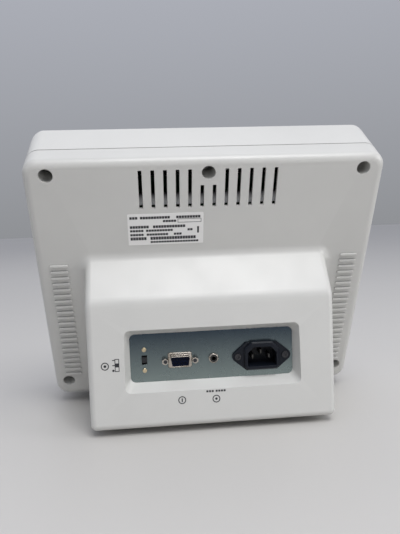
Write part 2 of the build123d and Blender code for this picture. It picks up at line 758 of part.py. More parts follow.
shield_screws = pan_screws(
    [on_back(across, up, SHIELD_DEPTH + SHEET) for across, up in SHIELD_POSTS],
    head_r=2.4, head_h=1.6, shank_r=1.15, shank_len=5.0,
)
save(shield_screws, "shield_screws")

# ---------------------------------------------------------------- display stack
BRACKET_DEPTH = 43.2
GLASS_DEPTH = 53.6
STANDOFF = 6.0
BOARD = 1.6
BOARD_DEPTH = BRACKET_DEPTH - STANDOFF - BOARD
BOARD_HOLES = [(-80, 95.0), (80, 95.0), (-80, 195.0), (80, 195.0)]

touch_glass = plate((0, DISPLAY_UP), GLASS, GLASS_DEPTH, FRONT_INSIDE - GLASS_DEPTH)
save(touch_glass, "touch_glass")

MODULE_DEPTH = BRACKET_DEPTH + SHEET
module_block = plate((0, DISPLAY_UP), MODULE, MODULE_DEPTH, GLASS_DEPTH - MODULE_DEPTH)
with BuildPart() as display_module:
    add(module_block.part)
    with BuildSketch(on_back(0, DISPLAY_UP, GLASS_DEPTH)):
        Rectangle(*WINDOW)
    extrude(amount=-0.6, mode=Mode.SUBTRACT)
save(display_module, "display_module")

bracket_sheet = plate((0, DISPLAY_UP), (226, 144), BRACKET_DEPTH, SHEET, BRACKET_HOLES, 1.6)
with BuildPart() as display_bracket:
    add(bracket_sheet.part)
    with BuildSketch(on_back(0, DISPLAY_UP, BRACKET_DEPTH - 1)):
        RectangleRounded(130, 76, 6)
        with Locations(*[(across, up - DISPLAY_UP) for across, up in BOARD_HOLES]):
            Circle(1.6)
    extrude(amount=SHEET + 2, mode=Mode.SUBTRACT)
save(display_bracket, "display_bracket")

display_screws = pan_screws(
    [facing_back(across, up, BRACKET_DEPTH) for across, up in BRACKET_HOLES],
    head_r=2.8, head_h=2.0, shank_r=1.25, shank_len=8.0,
)
save(display_screws, "display_screws")

standoff_places = [on_back(*hole, BRACKET_DEPTH - STANDOFF) for hole in BOARD_HOLES]
board_standoffs = tubes(standoff_places, 3.0, 1.3, STANDOFF)
save(board_standoffs, "board_standoffs")

main_board = plate((0, DISPLAY_UP), (180, 130), BOARD_DEPTH, BOARD, BOARD_HOLES, 1.6)
save(main_board, "main_board")

board_screws = pan_screws(
    [facing_back(across, up, BOARD_DEPTH) for across, up in BOARD_HOLES],
    head_r=2.6, head_h=1.8, shank_r=1.25, shank_len=6.0,
)
save(board_screws, "board_screws")

with BuildPart() as board_chips:
    for across, up, size, tall in [
        (0, 150, 28, 2.4),
        (40, 165, 14, 1.6),
        (40, 140, 14, 1.6),
        (-45, 160, 20, 2.0),
        (-45, 125, 12, 1.6),
    ]:
        with BuildSketch(facing_back(across, up, BOARD_DEPTH)):
            Rectangle(size, size)
        extrude(amount=tall)
save(board_chips, "board_chips")

# ---------------------------------------------------------------- speaker, lens and keys
SPEAKER_R = 17.5
with BuildPart() as speaker:
    with BuildSketch(on_back(SPEAKER_X, SPEAKER_UP, 52.4)):
        Circle(SPEAKER_R)
        Circle(14.5, mode=Mode.SUBTRACT)
    extrude(amount=FRONT_INSIDE - 52.4)
    with BuildSketch(on_back(SPEAKER_X, SPEAKER_UP, 52.4)):
        Circle(SPEAKER_R)
    extrude(amount=-1.5)
    with BuildSketch(on_back(SPEAKER_X, SPEAKER_UP, 51.0)):
        Circle(9.0)
    extrude(amount=-7.0)
save(speaker, "speaker")

with BuildPart() as status_lens:
    with BuildSketch(on_back(LENS_X, KEY_UP, 53.4)):
        RectangleRounded(6.0, 13.0, 1.0)
    extrude(amount=FRONT_INSIDE - 53.4)
    with BuildSketch(on_back(LENS_X, KEY_UP, 53.4)):
        SlotOverall(10.0, 3.0, rotation=90)
    extrude(amount=THICKNESS + 0.4 - 53.4)
save(status_lens, "status_lens")

KEY_FOOT = 53.8
KEY_PROUD = 1.2
FLANGE_TOP = 55.0
STEM_END = 51.6
SWITCH_TOP = STEM_END - BUTTON_TRAVEL - 0.2
KEY_BOARD_DEPTH = 44.0


def pressed_cap(across, cap_outline, foot_outline, crown):
    """Return a push cap with its retaining foot and a stem that meets the switch."""
    with BuildPart() as cap:
        with BuildSketch(on_back(across, KEY_UP, KEY_FOOT)):
            add(foot_outline.sketch)
        extrude(amount=FLANGE_TOP - KEY_FOOT)
        with BuildSketch(on_back(across, KEY_UP, KEY_FOOT)):
            add(cap_outline.sketch)
        extrude(amount=THICKNESS + KEY_PROUD - KEY_FOOT)
        face = leaning_faces(cap)[-1]
        fillet(face.outer_wire().edges(), crown)
        with BuildSketch(on_back(across, KEY_UP, KEY_FOOT)):
            Circle(1.5)
        extrude(amount=STEM_END - KEY_FOOT)
    return cap


with BuildSketch(Plane.XY) as key_outline:
    RectangleRounded(*KEY_SIZE, 2.0)
with BuildSketch(Plane.XY) as key_foot_outline:
    RectangleRounded(KEY_SIZE[0] + 3.0, KEY_SIZE[1] + 3.0, 2.0)
with BuildSketch(Plane.XY) as power_outline:
    Circle(POWER_R)
with BuildSketch(Plane.XY) as power_foot_outline:
    Circle(POWER_R + 1.5)

for number, across in enumerate(KEYS, start=1):
    function_key = pressed_cap(across, key_outline, key_foot_outline, 0.6)
    save(function_key, "function_key_" + str(number))

power_button = pressed_cap(POWER_X, power_outline, power_foot_outline, 0.8)
save(power_button, "power_button")

key_board = plate((-44.5, 55.0), (165, 20), KEY_BOARD_DEPTH, BOARD, KEY_BOARD_HOLES, 1.6)
save(key_board, "key_board")

key_board_screws = pan_screws(
    [facing_back(across, up, KEY_BOARD_DEPTH) for across, up in KEY_BOARD_HOLES],
    head_r=2.4, head_h=1.6, shank_r=1.25, shank_len=7.0,
)
save(key_board_screws, "key_board_screws")

with BuildPart() as key_switches:
    for across in KEYS + [POWER_X]:
        with BuildSketch(on_back(across, KEY_UP, KEY_BOARD_DEPTH + BOARD)):
            Rectangle(6.0, 6.0)
        extrude(amount=3.5)
        with BuildSketch(on_back(across, KEY_UP, KEY_BOARD_DEPTH + BOARD)):
            Circle(1.7)
        extrude(amount=SWITCH_TOP - KEY_BOARD_DEPTH - BOARD)
save(key_switches, "key_switches")

# ---------------------------------------------------------------- probe sockets
SOCKET_LIP = 2.5
with BuildPart() as probe_sockets:
    for across in SOCKETS:
        with BuildSketch(on_back(across, SOCKET_UP, THICKNESS)):
            Circle(9.5)
        extrude(amount=SOCKET_LIP)
        with BuildSketch(on_back(across, SOCKET_UP, THICKNESS)):
            Circle(SOCKET_R)
        extrude(amount=-18.0)
        with BuildSketch(on_back(across, SOCKET_UP, THICKNESS + SOCKET_LIP)):
            Circle(6.0)
        extrude(amount=-24.0, mode=Mode.SUBTRACT)
    lips = leaning_faces(probe_sockets)[-2:]
    chamfer([edge for lip in lips for edge in lip.outer_wire().edges()], 0.9)
save(probe_sockets, "probe_sockets")

with BuildPart() as socket_inserts:
    for across in SOCKETS:
        with BuildSketch(on_back(across, SOCKET_UP, THICKNESS - 16.0)):
            Circle(6.0)
        extrude(amount=15.5)
        with BuildSketch(on_back(across, SOCKET_UP, THICKNESS)):
            with PolarLocations(3.2, 6):
                Circle(0.6)
        extrude(amount=-6.0, mode=Mode.SUBTRACT)
save(socket_inserts, "socket_inserts")

# ---------------------------------------------------------------- strip printer
FRAME_HALF = 35.5
FRAME_WALL = 2.0
FRAME_BACK = 4.0


def on_printer(offset):
    """Return the upright plane across the printer, offset from its centre line."""
    return cross_plane(DOOR_X + offset)


with BuildPart() as printer_frame:
    with BuildSketch(on_printer(-FRAME_HALF - FRAME_WALL)):
        with BuildLine():
            Polyline(
                (9.0, FRONT_INSIDE),
                (9.0, 44.0),
                (10.0, 42.0),
                (10.0, FRAME_BACK),
                (68.0, FRAME_BACK),
                (68.0, FRONT_INSIDE),
                close=True,
            )
        make_face()
    extrude(amount=2 * (FRAME_HALF + FRAME_WALL))
    with BuildSketch(on_printer(-FRAME_HALF)):
        with BuildLine():
            Polyline(
                (0.0, FRONT_INSIDE + 1),
                (0.0, 42.0),
                (12.0, 42.0),
                (12.0, FRAME_BACK + 2.0),
                (66.0, FRAME_BACK + 2.0),
                (66.0, FRONT_INSIDE + 1),
                close=True,
            )
        make_face()
    extrude(amount=2 * FRAME_HALF, mode=Mode.SUBTRACT)
    with BuildSketch(on_printer(-FRAME_HALF - FRAME_WALL - 1)):
        with Locations((PIN_UP, PIN_DEPTH)):
            Circle(1.52)
        with Locations((ROLL_UP, ROLL_DEPTH)):
            Circle(ROLL_CORE_R - FIT + 0.02)
    extrude(amount=2 * (FRAME_HALF + FRAME_WALL + 1), mode=Mode.SUBTRACT)
save(printer_frame, "printer_frame")

with BuildPart() as door_pin:
    with BuildSketch(on_printer(-FRAME_HALF - FRAME_WALL)):
        with Locations((PIN_UP, PIN_DEPTH)):
            Circle(1.5)
    extrude(amount=2 * (FRAME_HALF + FRAME_WALL))
save(door_pin, "door_pin")

KNUCKLE_R = 4.6
ARM_INNER = 31.5
ARM_WIDTH = 2.5
with BuildPart() as printer_door:
    with BuildSketch(on_printer(-DOOR_WIDTH / 2)):
        with BuildLine():
            Line((DOOR_TOP, THICKNESS - DOOR_SKIN), (DOOR_TOP, THICKNESS))
            Line((DOOR_TOP, THICKNESS), (PIN_UP, THICKNESS))
            CenterArc((PIN_UP, PIN_DEPTH), DOOR_R, 90, 90)
            Line((PIN_UP - DOOR_R, PIN_DEPTH), (PIN_UP - DOOR_R + DOOR_SKIN, PIN_DEPTH))
            CenterArc((PIN_UP, PIN_DEPTH), DOOR_R - DOOR_SKIN, 90, 90)
            Line((PIN_UP, THICKNESS - DOOR_SKIN), (DOOR_TOP, THICKNESS - DOOR_SKIN))
        make_face()
    extrude(amount=DOOR_WIDTH)
    for side in (-1, 1):
        with BuildSketch(on_printer(side * 24.0 - 4.0)):
            with Locations((PIN_UP, PIN_DEPTH)):
                Circle(KNUCKLE_R)
        extrude(amount=8.0)
        with BuildSketch(on_printer(side * (ARM_INNER + ARM_WIDTH / 2) - ARM_WIDTH / 2)):
            with Locations((PLATEN_UP, PLATEN_DEPTH)):
                Circle(4.5)
            with Locations((PLATEN_UP - 1.0, THICKNESS - DOOR_SKIN - 0.2)):
                Rectangle(12.0, 1.0)
            make_hull()
        extrude(amount=ARM_WIDTH)
    with BuildSketch(on_printer(-DOOR_WIDTH / 2 - 1)):
        with Locations((PIN_UP, PIN_DEPTH)):
            Circle(1.5 + FIT)
        with Locations((PLATEN_UP, PLATEN_DEPTH)):
            Circle(2.0 + FIT)
    extrude(amount=DOOR_WIDTH + 2, mode=Mode.SUBTRACT)
    with BuildSketch(on_back(DOOR_X, 58.0, THICKNESS - 0.5)):
        SlotOverall(22.0, 2.6)
    extrude(amount=1.7, taper=6)
save(printer_door, "printer_door")

with BuildPart() as platen_shaft:
    with BuildSketch(on_printer(-ARM_INNER - 2.1)):
        with Locations((PLATEN_UP, PLATEN_DEPTH)):
            Circle(2.0)
    extrude(amount=2 * (ARM_INNER + 2.1))
save(platen_shaft, "platen_shaft")

with BuildPart() as platen_roller:
    with BuildSketch(on_printer(-PAPER_WIDTH / 2)):
        with Locations((PLATEN_UP, PLATEN_DEPTH)):
            Circle(PLATEN_R)
            Circle(2.0, mode=Mode.SUBTRACT)
    extrude(amount=PAPER_WIDTH)
save(platen_roller, "platen_roller")

HEAD_GAP = 0.35
with BuildPart() as print_head:
    with BuildSketch(on_printer(-30.0)):
        with Locations(((PLATEN_UP + PLATEN_R + HEAD_GAP + 66.0) / 2, 49.5)):
            Rectangle(66.0 - PLATEN_UP - PLATEN_R - HEAD_GAP, 11.0)
    extrude(amount=60.0)
save(print_head, "print_head")

with BuildPart() as roll_spindle:
    with BuildSketch(on_printer(-FRAME_HALF - FRAME_WALL)):
        with Locations((ROLL_UP, ROLL_DEPTH)):
            Circle(ROLL_CORE_R - FIT)
    extrude(amount=2 * (FRAME_HALF + FRAME_WALL))
save(roll_spindle, "roll_spindle")

CORE_OUTER_R = 7.8
with BuildPart() as roll_core:
    with BuildSketch(on_printer(-PAPER_WIDTH / 2)):
        with Locations((ROLL_UP, ROLL_DEPTH)):
            Circle(CORE_OUTER_R)
            Circle(ROLL_CORE_R, mode=Mode.SUBTRACT)
    extrude(amount=PAPER_WIDTH)
save(roll_core, "roll_core")

with BuildPart() as paper_roll:
    with BuildSketch(on_printer(-PAPER_WIDTH / 2)):
        with Locations((ROLL_UP, ROLL_DEPTH)):
            Circle(ROLL_R)
            Circle(CORE_OUTER_R, mode=Mode.SUBTRACT)
    extrude(amount=PAPER_WIDTH)
save(paper_roll, "paper_roll")

# ---------------------------------------------------------------- boards in the housing
TRAY_TOP = TRAY_Z + SHEET
SUPPLY_Z = TRAY_TOP + 5.0
SUPPLY_HOLES = [(-71, -3.0), (1, -10.0), (-71, 42.0), (1, 42.0)]


supply_standoffs = tubes([level_plane(*hole, TRAY_TOP) for hole in SUPPLY_HOLES], 3.0, 1.3, 5.0)
save(supply_standoffs, "supply_standoffs")

with BuildPart() as supply_board:
    with BuildSketch(level_plane(-35, 16, SUPPLY_Z)):
        Rectangle(80, 60)
    extrude(amount=BOARD)
    with BuildSketch(Plane.XY.offset(SUPPLY_Z)):
        with Locations(*SUPPLY_HOLES):
            Circle(1.6)
    extrude(amount=BOARD, mode=Mode.SUBTRACT)
save(supply_board, "supply_board")

supply_screws = pan_screws(
    [level_plane(*hole, SUPPLY_Z + BOARD) for hole in SUPPLY_HOLES],
    head_r=2.6, head_h=1.8, shank_r=1.25, shank_len=6.0,
)
save(supply_screws, "supply_screws")

SUPPLY_TOP = SUPPLY_Z + BOARD
with BuildPart() as supply_transformer:
    with BuildSketch(level_plane(-44, 10, SUPPLY_TOP + 4.0)):
        Rectangle(34, 22)
    extrude(amount=14.0)
    with BuildSketch(level_plane(-44, 10, SUPPLY_TOP)):
        Rectangle(22, 28)
    extrude(amount=22.0)
    fillet(supply_transformer.edges().filter_by(Axis.Z), 1.0)
save(supply_transformer, "supply_transformer")

with BuildPart() as supply_capacitors:
    for along in (2.0, 22.0):
        with BuildSketch(level_plane(-14, along, SUPPLY_TOP)):
            Circle(8.0)
        extrude(amount=24.0)
    fillet(supply_capacitors.edges().group_by(Axis.Z)[-1], 1.0)
save(supply_capacitors, "supply_capacitors")

with BuildPart() as heat_sink:
    with BuildSketch(level_plane(-72.5, 20, SUPPLY_TOP)):
        Rectangle(2.0, 36.0)
    extrude(amount=26.0)
    with BuildSketch(level_plane(-68.5, 20, SUPPLY_TOP + 3.0)):
        with GridLocations(1, 8.0, 1, 5):
            Rectangle(7.0, 1.4)
    extrude(amount=23.0)
save(heat_sink, "heat_sink")

IO_TOP = PANEL_Z - 5.5
IO_HOLES = [(10, 26.0), (44, 26.0)]
with BuildPart() as connector_board:
    with BuildSketch(level_plane(21, 38, IO_TOP - BOARD)):
        Rectangle(58, 34)
    extrude(amount=BOARD)
    with BuildSketch(Plane.XY.offset(IO_TOP - BOARD)):
        with Locations(*IO_HOLES):
            Circle(1.6)
    extrude(amount=BOARD, mode=Mode.SUBTRACT)
save(connector_board, "connector_board")

tall_places = [level_plane(*hole, TRAY_TOP) for hole in IO_HOLES]
tall_standoffs = tubes(tall_places, 3.0, 1.3, IO_TOP - BOARD - TRAY_TOP)
save(tall_standoffs, "tall_standoffs")

connector_board_screws = pan_screws(
    [level_plane(*hole, IO_TOP) for hole in IO_HOLES],
    head_r=2.6, head_h=1.8, shank_r=1.25, shank_len=6.0,
)
save(connector_board_screws, "connector_board_screws")
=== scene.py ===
import json
from math import cos, pi, radians, sin, tan

import bmesh
import bpy
from mathutils import Matrix, Vector


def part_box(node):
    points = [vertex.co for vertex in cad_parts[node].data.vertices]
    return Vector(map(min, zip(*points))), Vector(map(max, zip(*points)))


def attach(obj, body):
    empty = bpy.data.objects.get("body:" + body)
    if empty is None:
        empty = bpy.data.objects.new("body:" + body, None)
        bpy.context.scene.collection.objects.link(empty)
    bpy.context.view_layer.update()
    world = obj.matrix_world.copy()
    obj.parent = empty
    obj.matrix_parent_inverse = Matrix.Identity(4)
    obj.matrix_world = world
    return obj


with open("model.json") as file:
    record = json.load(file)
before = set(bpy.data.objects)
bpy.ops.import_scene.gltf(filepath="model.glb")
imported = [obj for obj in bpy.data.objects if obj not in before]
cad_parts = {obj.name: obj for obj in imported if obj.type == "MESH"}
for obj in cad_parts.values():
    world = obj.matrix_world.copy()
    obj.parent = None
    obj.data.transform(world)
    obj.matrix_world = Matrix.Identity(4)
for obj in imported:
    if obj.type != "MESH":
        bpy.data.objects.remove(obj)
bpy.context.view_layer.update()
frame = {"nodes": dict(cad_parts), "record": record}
nodes = frame["nodes"]

MM = 0.001
LEAN = radians(25.0)         # lean of the back plane from the vertical
UP_BACK = Vector((0, sin(LEAN), cos(LEAN)))
OUT_BACK = Vector((0, cos(LEAN), -sin(LEAN)))
ACROSS = Vector((1, 0, 0))


# ---------------------------------------------------------------- camera
CAMERA_PLACE = (0.04881, 0.49286, 0.18153)
CAMERA_YAW = radians(-5.385)
CAMERA_PITCH = radians(6.074)
CAMERA_ROLL = radians(-1.899)
CAMERA_LENS = 36.27


def set_camera():
    """The camera stands behind the unit, a little to one side and above it, slightly rolled."""
    level = cos(CAMERA_PITCH)
    forward = Vector((sin(CAMERA_YAW) * level, -cos(CAMERA_YAW) * level, -sin(CAMERA_PITCH)))
    right = Vector((-cos(CAMERA_YAW), -sin(CAMERA_YAW), 0))
    up = right.cross(forward)
    rolled_right = right * cos(CAMERA_ROLL) + up * sin(CAMERA_ROLL)
    rolled_up = up * cos(CAMERA_ROLL) - right * sin(CAMERA_ROLL)
    data = bpy.data.cameras.new("camera")
    data.sensor_width = 36.0
    data.lens = CAMERA_LENS
    camera = bpy.data.objects.new("camera", data)
    bpy.context.scene.collection.objects.link(camera)
    turn = Matrix((rolled_right, rolled_up, -forward)).transposed().to_4x4()
    camera.matrix_world = Matrix.Translation(CAMERA_PLACE) @ turn
    bpy.context.scene.camera = camera


set_camera()


# ---------------------------------------------------------------- materials
class Nodes:
    """A small helper that adds shader nodes to a material and wires them."""

    def __init__(self, name):
        self.material = bpy.data.materials.new(name)
        self.material.use_nodes = True
        self.tree = self.material.node_tree
        self.shader = self.tree.nodes["Principled BSDF"]
        self.place = self.add("ShaderNodeTexCoord").outputs["Object"]

    def add(self, kind, **settings):
        node = self.tree.nodes.new(kind)
        for key, value in settings.items():
            setattr(node, key, value)
        return node

    def link(self, source, target):
        self.tree.links.new(source, target)

    def set(self, **values):
        for key, value in values.items():
            self.shader.inputs[key.replace("_", " ")].default_value = value

    def noise(self, size, detail=3.0, roughness=0.55, stretch=None):
        """Noise with features of about the given size in metres, stretched along an axis if asked."""
        texture = self.add("ShaderNodeTexNoise")
        texture.inputs["Scale"].default_value = 1.0 / size
        texture.inputs["Detail"].default_value = detail
        texture.inputs["Roughness"].default_value = roughness
        if stretch:
            mapping = self.add("ShaderNodeMapping")
            mapping.inputs["Scale"].default_value = stretch
            self.link(self.place, mapping.inputs["Vector"])
            self.link(mapping.outputs["Vector"], texture.inputs["Vector"])
        else:
            self.link(self.place, texture.inputs["Vector"])
        return texture.outputs["Fac"]

    def spread(self, value, low, high, start=0.3, end=0.7):
        """Map a factor from start..end to low..high."""
        ranger = self.add("ShaderNodeMapRange")
        ranger.inputs["From Min"].default_value = start
        ranger.inputs["From Max"].default_value = end
        ranger.inputs["To Min"].default_value = low
        ranger.inputs["To Max"].default_value = high
        self.link(value, ranger.inputs["Value"])
        return ranger.outputs["Result"]

    def blend(self, factor, first, second):
        """Mix two colours, given as RGB triples or as sockets."""
        mixer = self.add("ShaderNodeMix", data_type="RGBA")
        inputs = [s for s in mixer.inputs if s.type == "RGBA"]
        for socket, colour in zip(inputs, (first, second)):
            if isinstance(colour, bpy.types.NodeSocket):
                self.link(colour, socket)
            else:
                socket.default_value = (*colour, 1.0)
        self.link(factor, mixer.inputs["Factor"])
        return [s for s in mixer.outputs if s.type == "RGBA"][0]

    def bumps(self, *layers, soft_edge=0.0):
        """Stack bump layers, each (height socket, strength, distance in metres), over softened edges."""
        normal = None
        if soft_edge > 0:
            rounded = self.add("ShaderNodeBevel", samples=6)
            rounded.inputs["Radius"].default_value = soft_edge
            normal = rounded.outputs["Normal"]
        for height, strength, distance in layers:
            bump = self.add("ShaderNodeBump")
            bump.inputs["Strength"].default_value = strength
            bump.inputs["Distance"].default_value = distance
            self.link(height, bump.inputs["Height"])
            if normal:
                self.link(normal, bump.inputs["Normal"])
            normal = bump.outputs["Normal"]
        self.link(normal, self.shader.inputs["Normal"])

    def edge_factor(self):
        """Return 0 on flat stretches and 1 on outer edges, for wear."""
        pointiness = self.add("ShaderNodeNewGeometry").outputs["Pointiness"]
        return self.spread(pointiness, 0.0, 1.0, start=0.52, end=0.6)


CREASE_SHADE_REACH = 1.4 * MM      # how near another surface has to be for a crease to get painted shade


def moulded(
    name, colour, roughness=0.5, grain=0.0006, grain_bump=0.12, mottle=0.03, wear=0.25, edge=0.0, sheen=0.5
):
    """Injection-moulded plastic with an etched grain, faint mottling and paler worn edges.

    With an edge radius, in metres, edges also look softened and narrow creases get painted shade, darker
    where other surfaces are close."""
    n = Nodes(name)
    lighter = tuple(min(1.0, c * (1 + mottle)) for c in colour)
    darker = tuple(c * (1 - mottle) for c in colour)
    cloudy = n.spread(n.noise(0.05, 4.0), 0.0, 1.0)
    base = n.blend(cloudy, darker, lighter)
    if wear > 0:
        worn = tuple(min(1.0, c * 1.12 + 0.02) for c in colour)
        rubbed = n.add("ShaderNodeMath", operation="MULTIPLY")
        n.link(n.edge_factor(), rubbed.inputs[0])
        rubbed.inputs[1].default_value = wear
        base = n.blend(rubbed.outputs[0], base, worn)
    # Painted shade: narrow creases are darkened where ambient occlusion finds other surfaces close by.
    if edge > 0:
        creased = n.add("ShaderNodeAmbientOcclusion", samples=8)
        creased.inputs["Distance"].default_value = CREASE_SHADE_REACH
        painted_crease_shade = n.spread(creased.outputs["AO"], 1.0, 0.0, 0.25, 0.85)
        base = n.blend(painted_crease_shade, base, tuple(c * 0.42 for c in colour))
    n.link(base, n.shader.inputs["Base Color"])
    smudges = n.spread(n.noise(0.018, 5.0), roughness - 0.05, roughness + 0.06)
    n.link(smudges, n.shader.inputs["Roughness"])
    n.set(IOR=1.5, Specular_IOR_Level=sheen)
    n.bumps((n.noise(grain, 2.0), grain_bump, 0.00006), (n.noise(0.03, 2.0), 0.04, 0.0004), soft_edge=edge)
    return n.material


def metal(name, colour, roughness=0.3, brush=None, scratch=0.08, tarnish=None, edge=0.0):
    """Metal with duller patches and a fine brushing or grain, whose strength is scratch."""
    n = Nodes(name)
    dull = tarnish or tuple(c * 0.8 for c in colour)
    base = n.blend(n.spread(n.noise(0.012, 5.0), 0.0, 1.0, 0.35, 0.75), colour, dull)
    n.link(base, n.shader.inputs["Base Color"])
    n.set(Metallic=1.0)
    n.link(n.spread(n.noise(0.009, 6.0), roughness - 0.03, roughness + 0.04), n.shader.inputs["Roughness"])
    grain = 0.0004
    fine = n.noise(grain, 3.0, 0.6, brush) if brush else n.noise(grain, 3.0)
    n.bumps((fine, scratch, 0.00005), soft_edge=edge)
    return n.material


def board_finish(name, colour):
    """Circuit board: solder mask over faint copper tracks, with pale pads."""
    n = Nodes(name)
    brick = n.add("ShaderNodeTexBrick")
    brick.inputs["Scale"].default_value = 120.0
    brick.inputs["Mortar Size"].default_value = 0.012
    brick.inputs["Color1"].default_value = (*colour, 1)
    brick.inputs["Color2"].default_value = (*(c * 0.8 for c in colour), 1)
    brick.inputs["Mortar"].default_value = (*(min(1, c * 1.8 + 0.02) for c in colour), 1)
    n.link(n.place, brick.inputs["Vector"])
    n.link(brick.outputs["Color"], n.shader.inputs["Base Color"])
    n.link(n.spread(n.noise(0.01), 0.3, 0.45), n.shader.inputs["Roughness"])
    n.bumps((brick.outputs["Fac"], 0.3, 0.00005))
    return n.material


def painted_light_sheet(name, up, painted_tones, reach, metallic, roughness, brush=None):
    """Sheet metal painted with light and shade: its tone runs from the first to the second between two
    distances along a direction.
    """
    lower, upper = painted_tones
    n = Nodes(name)
    rise = n.add("ShaderNodeVectorMath", operation="DOT_PRODUCT")
    n.link(n.place, rise.inputs[0])
    rise.inputs[1].default_value = up
    painted_grade = n.spread(rise.outputs["Value"], 0.0, 1.0, *reach)
    cloudy = n.spread(n.noise(0.02, 4.0), 0.0, 1.0)
    first = n.blend(cloudy, lower, tuple(c * 0.95 for c in lower))
    second = n.blend(cloudy, upper, tuple(c * 0.95 for c in upper))
    n.link(n.blend(painted_grade, first, second), n.shader.inputs["Base Color"])
    n.link(n.spread(n.noise(0.012, 4.0), roughness - 0.01, roughness + 0.02), n.shader.inputs["Roughness"])
    n.set(Metallic=metallic)
    n.bumps((n.noise(0.0005, 3.0, 0.6, brush), 0.09, 0.00005), soft_edge=0.0003)
    return n.material


def shield_finish():
    """The sheet behind the vents: painted light at its foot and painted shade above."""
    foot = min(vertex.co.dot(UP_BACK) for vertex in nodes["vent_shield"].data.vertices)
    # Painted light at the foot of the sheet and painted shade above it.
    painted_tones = ((0.95, 0.96, 0.97), (0.012, 0.012, 0.014))
    reach = (foot + 2.0 * MM, foot + 9.5 * MM)
    return painted_light_sheet("vent_shield_finish", UP_BACK, painted_tones, reach, 0.0, 0.6)


def panel_finish():
    """The connector panel: brushed sheet metal with painted shade at its top and a lighter painted
    reflection at its foot.
    """
    inlet_low, inlet_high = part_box("inlet_body")
    row = (inlet_low[2] + inlet_high[2]) / 2
    # Painted reflection, lighter, at the foot and painted shade at the top.
    painted_tones = ((0.30, 0.36, 0.345), (0.055, 0.075, 0.095))
    reach = (row - 25.0 * MM, row + 22.0 * MM)
    return painted_light_sheet("rear_panel_finish", (0, 0, 1), painted_tones, reach, 1.0, 0.27, (1.0, 1.0, 0.06))


CASE_COLOUR = (0.575, 0.57, 0.545)
finishes = {
    "case_plastic": moulded("case_plastic_finish", CASE_COLOUR, 0.34, mottle=0.02, edge=0.0005),
    "foot_rubber": moulded("foot_rubber_finish", (0.03, 0.03, 0.03), 0.8, 0.0008, 0.3, 0.1, 0.1),
    "label_film": moulded("label_film_finish", (0.80, 0.79, 0.77), 0.35, 0.0015, 0.03, 0.01, 0.0),
    "case_screw_steel": metal("case_screw_finish", (0.32, 0.32, 0.34), 0.35),
    "zinc_sheet": panel_finish(),
    "inlet_plastic": moulded(
        "inlet_plastic_finish", (0.006, 0.008, 0.013), 0.32, 0.0007, 0.06, 0.1, 0.0, 0.0004, 0.22
    ),
    "nickel": metal(
        "nickel_finish", (0.58, 0.54, 0.49), 0.18, scratch=0.06, tarnish=(0.30, 0.26, 0.21), edge=0.0003
    ),
    "black_screw": metal(
        "black_screw_finish", (0.07, 0.07, 0.075), scratch=0.1, tarnish=(0.045, 0.045, 0.05), edge=0.0002
    ),
    "insert_plastic": moulded(
        "insert_plastic_finish", (0.003, 0.005, 0.014), 0.45, 0.0007, 0.06, 0.1, 0.0, sheen=0.05
    ),
    "jack_plastic": moulded("jack_plastic_finish", (0.012, 0.012, 0.012), 0.45, 0.0007, 0.08, 0.1, 0.1),
    "switch_plastic": moulded("switch_plastic_finish", (0.02, 0.02, 0.022), 0.4, 0.0006, 0.08, 0.1, 0.15),
    "yellow_zinc": metal(
        "yellow_zinc_finish", (0.74, 0.62, 0.42), 0.28, tarnish=(0.5, 0.41, 0.26), edge=0.0003
    ),
    "light_sheet": shield_finish(),
    "display_glass": moulded("display_glass_finish", (0.012, 0.014, 0.016), 0.06, 0.02, 0.01, 0.02, 0.0),
    "display_black": moulded("display_black_finish", (0.02, 0.02, 0.024), 0.3),
    "bright_steel": metal("bright_steel_finish", (0.62, 0.62, 0.63), 0.26),
    "board_green": board_finish("board_finish", (0.008, 0.05, 0.022)),
    "chip_black": moulded("chip_black_finish", (0.02, 0.02, 0.022), 0.5, 0.0005, 0.15),
    "speaker_black": moulded("speaker_black_finish", (0.015, 0.015, 0.016), 0.7, 0.0008, 0.3),
    "lens_green": moulded("lens_finish", (0.12, 0.42, 0.16), 0.15, 0.003, 0.02),
    "key_grey": moulded("key_grey_finish", (0.30, 0.34, 0.39), 0.48, 0.0005, 0.12, 0.03, 0.3),
    "socket_grey": moulded("socket_grey_finish", (0.06, 0.065, 0.075), 0.4, 0.0006, 0.1),
    "printer_grey": moulded("printer_grey_finish", (0.08, 0.083, 0.09), 0.5, 0.0006, 0.15),
    "platen_rubber": moulded("platen_rubber_finish", (0.02, 0.02, 0.022), 0.75, 0.0006, 0.25),
    "head_aluminium": metal("head_aluminium_finish", (0.62, 0.63, 0.64), 0.35, (0.1, 1.0, 1.0), 0.1),
    "core_card": moulded("core_card_finish", (0.36, 0.25, 0.15), 0.85, 0.0012, 0.35, 0.1),
    "thermal_paper": moulded("thermal_paper_finish", (0.80, 0.80, 0.78), 0.6, 0.0009, 0.1, 0.02, 0.0),
    "transformer_yellow": moulded("transformer_finish", (0.42, 0.28, 0.05), 0.4),
    "capacitor_sleeve": moulded("capacitor_finish", (0.012, 0.025, 0.07), 0.3),
}

for part in frame["record"]["subparts"]:
    node = nodes[part["node"]]
    node.data.materials.clear()
    node.data.materials.append(finishes[part["material_slot"]])
# The inlet's blades get a dark metal colour: painted shade for blades that sit deep in the inlet.
nodes["inlet_blades"].data.materials[0] = metal("blade_painted_shade_finish", (0.10, 0.097, 0.092), 0.4)


